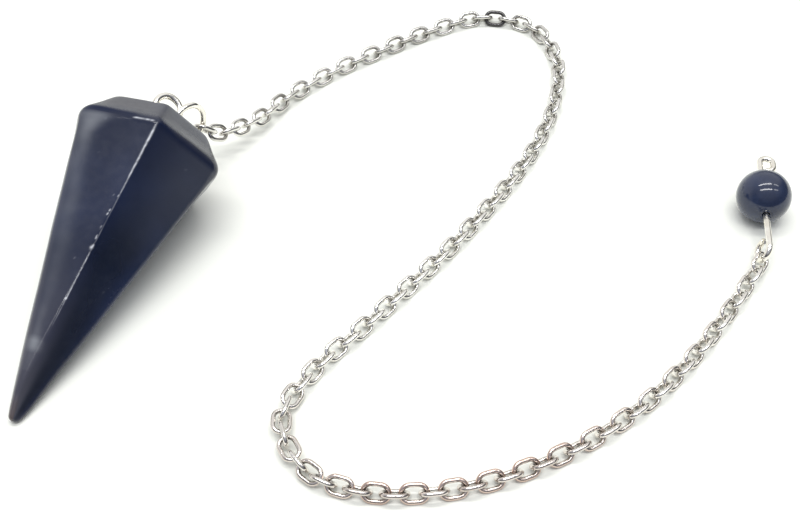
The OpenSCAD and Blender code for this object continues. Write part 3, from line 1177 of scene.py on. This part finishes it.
# %% Satin navy stone
def satin_stone(tree):
    """Navy stone with a wandering satin polish, frosted chips, a greyer tip and crown, and painted
    light: shade on the right facet, reflection along the left ridge and on the crown, and a glint on
    the crisp ridge.
    """
    # brushed patches as wide as a facet, and the grit's marks, drawn coarse enough to show
    clouds = patches(tree, 11.0)
    marks = patches(tree, 0.7, detail=4.0)
    frost_and_glint, painted_sheen, pinhole, tipward, crown, matt, painted_shade = (
        add_node(tree, "ShaderNodeAttribute", attribute_name=name).outputs["Fac"]
        for name in ("frost_and_glint", "painted_sheen", "pinhole", "tipward", "crown", "matt", "painted_shade")
    )
    layers = [
        ("#1a2543", 0.0, (clouds, 1.0)),
        # painted shade on the right facet
        ("#0d131c", 0.0, (painted_shade, 0.6)),
        ("#5b5a61", 0.0, (tipward, 0.8)),
        ("#66503f", -2.2, (tipward, 3.0)),
        # grey crown: partly its ground finish, partly a painted reflection
        ("#525254", 0.0, (crown, 0.8)),
        # painted reflection and painted sheen
        ("#7d8086", 0.0, (painted_sheen, 1.0)),
        ("#9a9ea8", 0.0, (pinhole, 0.5)),
        # frost and painted glint
        ("#e4e7ee", 0.0, (frost_and_glint, 1.0)),
    ]
    roughness = [(clouds, 0.07), (marks, 0.05), (crown, 0.16), (frost_and_glint, 0.25)]
    relief = {"Strength": 0.05, "Distance": 0.03 * MM, "Height": marks}
    return {
        "IOR": 1.54,
        "Base Color": coats(tree, "#141c33", layers),
        "Roughness": weighted(tree, 0.16, roughness),
        "Specular IOR Level": weighted(tree, 0.5, [(matt, -0.46)]),
        "Normal": add_node(tree, "ShaderNodeBump", relief).outputs["Normal"],
    }


stone.data.materials.append(new_material("satin_polished_navy_stone", satin_stone))

# %% [markdown]
# The bead is the same kind of stone, but bluer and tumbled to a gloss. The body under the gloss
# is left a little rough, and a thin clear coat over it mirrors the lamps as crisp bars.

# %% Glossy navy bead
def glossy_bead(tree):
    """Tumbled stone: a navy body with faint clouds, a slightly hazy polish and a glassy skin."""
    # clouds of a few millimetres in the stone, and smaller patches left by the tumbling
    clouds = ("#2a344e", 0.0, (patches(tree, 2.4), 1.0))
    return {
        "IOR": 1.56,
        "Specular IOR Level": 0.1,
        "Coat Weight": 0.8,
        "Coat IOR": 1.55,
        "Coat Roughness": 0.025,
        "Base Color": coats(tree, "#222b43", [clouds]),
        "Roughness": weighted(tree, 0.26, [(patches(tree, 0.9), 0.08)]),
    }


bead.data.materials.append(new_material("tumbled_glossy_navy_stone", glossy_bead))

# %% [markdown]
# ## The metals
#
# The eye, the jump ring and the pin are drawn brass with a bright, slightly warm plating. Drawing
# and handling leave it a little uneven, which shows as faint grit and clouds. A plated metal needs
# no index of its own: its colour and its roughness say it all.

# %% Plated wire
WIRE_ROUGHNESS = 0.1


def plated_wire(tree, pale="#f9f6ee", dull="#ebe6da", wear_and_painted_coats=(), worn_roughness=()):
    """Bright plating whose colour and roughness wander. What wear and painted light add is laid over
    it.
    """
    # clouds about as wide as two wires, and the drawing grit, drawn coarse enough to show
    clouds = patches(tree, 1.6)
    grit = patches(tree, 0.25, detail=4.0)
    relief = {"Strength": 0.05, "Distance": 0.02 * MM, "Height": grit}
    return {
        "Metallic": 1.0,
        "Base Color": coats(tree, pale, [(dull, 0.0, (clouds, 1.0)), *wear_and_painted_coats]),
        "Roughness": weighted(tree, WIRE_ROUGHNESS, [(clouds, 0.08), *worn_roughness]),
        "Normal": add_node(tree, "ShaderNodeBump", relief).outputs["Normal"],
    }


warm_plating = new_material("warm_nickel_plated_brass_wire", plated_wire)
for piece in (eye, jump_ring, pin):
    piece.data.materials.append(warm_plating)

# %% [markdown]
# The chain's plating is whiter. It is darker and rougher on the insides of the bends, and darker
# and duller on some runs, which on the lowest run is painted shade. Along the lowest run a warm
# painted reflection tints the outer sides of the links. One link has turned dark all over.

# %% Plated chain
def chain_finish(tree):
    """Whiter plating, darker on the insides of the bends and on some runs, with painted shade and a
    warm painted reflection on the lowest run, and the dark link.
    """
    inside_of_bends, link_darkness, warm_reflection = (
        add_node(tree, "ShaderNodeAttribute", attribute_name=name).outputs["Fac"]
        for name in ("inside_of_bends", "link_darkness", "warm_reflection")
    )
    wear_and_painted_coats = [
        # darker on some runs, painted shade on the lowest run, and darker on the insides of the
        # bends
        ("#6f6c68", 0.0, (link_darkness, 0.5), (inside_of_bends, 0.45)),
        # painted reflection: a warm tint on the lowest run
        ("#d9a58c", 0.0, (warm_reflection, 0.52)),
        ("#2c2d33", -1.1, (link_darkness, 1.0)),
    ]
    worn_roughness = [(link_darkness, 0.05), (inside_of_bends, 0.12)]
    return plated_wire(tree, "#f8f6f1", "#e8e5de", wear_and_painted_coats, worn_roughness)


chain.data.materials.append(new_material("bright_plated_steel_chain", chain_finish))

# %% [markdown]
# ## Table and light
#
# The table is a matt white sheet, wide enough to fill the picture and to take the soft shadows.

# %% Table
TABLE_LOW = np.array([-170, -150])
TABLE_HIGH = np.array([240, 190])


def matt_white(tree):
    """Plain matt white, which needs no nodes of its own."""
    return {"Base Color": "#f6f7ef", "Roughness": 0.9, "Specular IOR Level": 0.2}


(west, south), (east, north) = (TABLE_LOW * MM).tolist(), (TABLE_HIGH * MM).tolist()
table_mesh = bpy.data.meshes.new("table")
table_corners = [(west, south, 0), (east, south, 0), (east, north, 0), (west, north, 0)]
table_mesh.from_pydata(table_corners, [], [(0, 1, 2, 3)])
table = bpy.data.objects.new("table", table_mesh)
bpy.context.scene.collection.objects.link(table)
table.data.materials.append(new_material("matt_white_table", matt_white))

# %% [markdown]
# Two lamp tubes run left to right overhead, which the bead mirrors as a pair of bars. A second,
# dimmer pair further right gives the fainter bars beside them. Long thin lamps also draw soft
# shadows along the stone and the chain.

# %% Lamps
LAMP_HEIGHT = 0.5
TUBE_WIDTH = 0.045
BACK_Y = 0.085
FRONT_Y = -0.13
# each pair's middle and length along X in metres, and its radiance
TUBE_PAIRS = {"tube": (0.01, 0.45, 15.5), "tube_dim": (0.43, 0.23, 6.0)}

for tube_name, (tube_x, tube_length, radiance) in TUBE_PAIRS.items():
    for side_name, tube_y in (("back", BACK_Y), ("front", FRONT_Y)):
        light = bpy.data.lights.new(f"{side_name}_{tube_name}", "AREA")
        light.shape = "RECTANGLE"
        light.size = tube_length
        light.size_y = TUBE_WIDTH
        # a rectangle lamp's power is its radiance times pi times its area
        light.energy = radiance * np.pi * tube_length * TUBE_WIDTH
        lamp = bpy.data.objects.new(light.name, light)
        lamp.location = (tube_x, tube_y, LAMP_HEIGHT)
        bpy.context.scene.collection.objects.link(lamp)

# %% [markdown]
# The room is pale to the left, behind and overhead, and dim to the right and in front. That dim
# side is what draws the dark lines in the bright wire. Past the table's edge a view sees a plain
# pale backdrop instead of the room, which only lights the pendant.

# %% Room light
world = bpy.data.worlds.new("pale_room")
bpy.context.scene.world = world
world.use_nodes = True
tree = world.node_tree
tree.nodes.clear()
direction = add_node(tree, "ShaderNodeTexCoord").outputs["Generated"]


def lobe(towards, low, high):
    """Share from 0 to 1 of how far a direction points the given way, between two cosines."""
    inputs = {0: direction, 1: unit(np.array(towards)).tolist()}
    facing = add_node(tree, "ShaderNodeVectorMath", inputs, operation="DOT_PRODUCT")
    inputs = {"From Min": low, "From Max": high, "Value": facing.outputs["Value"]}
    spread = add_node(tree, "ShaderNodeMapRange", inputs, interpolation_type="SMOOTHSTEP")
    return spread.outputs["Result"]


room_parts = [
    ("#bfc3cf", 0.0, (lobe([0.0, -0.2, 1.0], 0.35, 0.85), 1.0)),
    ("#fdfdff", 0.0, (lobe([-0.8, 0.58, -0.1], 0.35, 0.85), 1.0)),
    ("#ffffff", 0.0, (lobe([0.17, 0.62, 0.77], 0.64, 0.9), 1.0)),
]
room = {"Strength": 0.95, "Color": coats(tree, "#4c4e53", room_parts)}
room_light = add_node(tree, "ShaderNodeBackground", room).outputs["Background"]
backdrop = add_node(tree, "ShaderNodeBackground", {"Color": "#f4f4f2"}).outputs["Background"]
seen_directly = add_node(tree, "ShaderNodeLightPath").outputs["Is Camera Ray"]
seen = add_node(tree, "ShaderNodeMixShader", {0: seen_directly, 1: room_light, 2: backdrop})
add_node(tree, "ShaderNodeOutputWorld", {"Surface": seen.outputs["Shader"]})
bpy.context.scene.view_settings.view_transform = "Standard"
print("world:", world.name)
